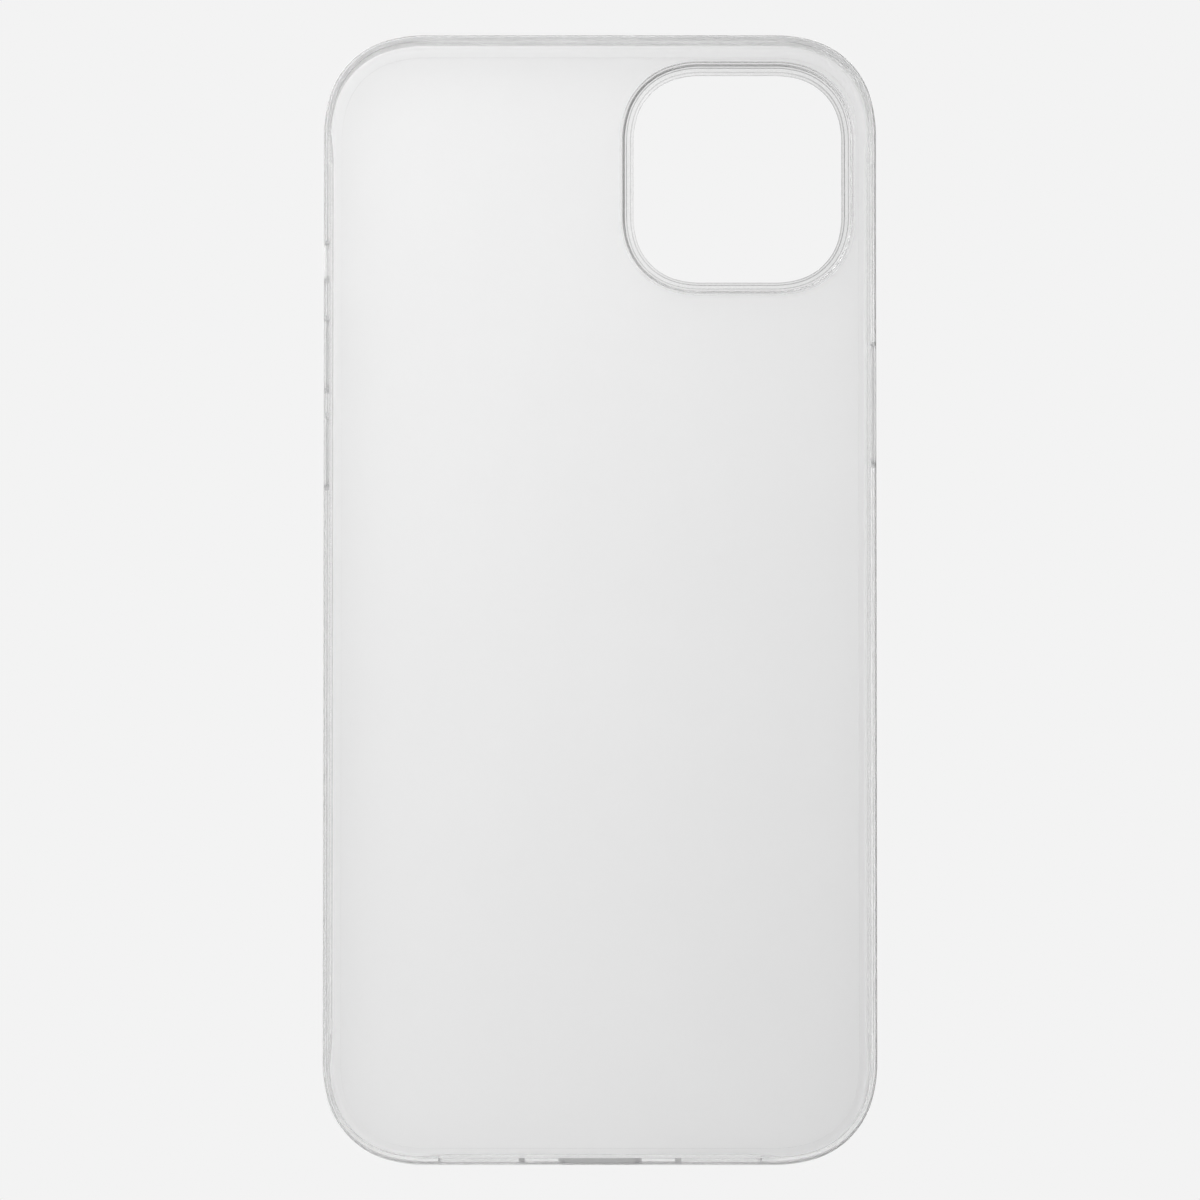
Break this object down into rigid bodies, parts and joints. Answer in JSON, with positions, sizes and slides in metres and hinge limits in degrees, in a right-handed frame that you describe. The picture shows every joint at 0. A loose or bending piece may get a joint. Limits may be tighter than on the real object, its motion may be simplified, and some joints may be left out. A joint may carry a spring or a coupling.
{
  "type": "phone case",
  "caption": "Slim frosted translucent phone case: flat back, rounded side frame with a front lip, raised guard round a square camera opening, and button covers that press in.",
  "frame": {"origin": "under the middle of the case, at the outer face of the camera guard, the lowest point when the case lies on its back", "axes": "+X to the side with the single button, +Y to the camera end, +Z out of the open side, towards the screen"},
  "size_m": [0.0794, 0.1626, 0.0103],
  "materials": {
    "frosted_plastic": "fine frosted, slightly milky",
    "clear_plastic": "satin, clearer than the back",
    "guard_plastic": "satin, clearer than the back",
    "button_plastic": "satin, clear"
  },
  "bodies": {
    "shell": {"back_panel": "frosted_plastic", "side_frame": "clear_plastic", "camera_guard": "guard_plastic"},
    "volume_up": {"volume_up_button": "button_plastic"},
    "volume_down": {"volume_down_button": "button_plastic"},
    "side_key": {"side_button": "button_plastic"}
  },
  "joints": [
    {"name": "volume_up_press", "type": "slide", "parent": "shell", "child": "volume_up", "axis": [1, 0, 0], "range_m": [0, 0.00025], "stiffness_N_per_m": 4000},
    {"name": "volume_down_press", "type": "slide", "parent": "shell", "child": "volume_down", "axis": [1, 0, 0], "range_m": [0, 0.00025], "stiffness_N_per_m": 4000},
    {"name": "side_button_press", "type": "slide", "parent": "shell", "child": "side_key", "axis": [-1, 0, 0], "range_m": [0, 0.00025], "stiffness_N_per_m": 4000}
  ]
}
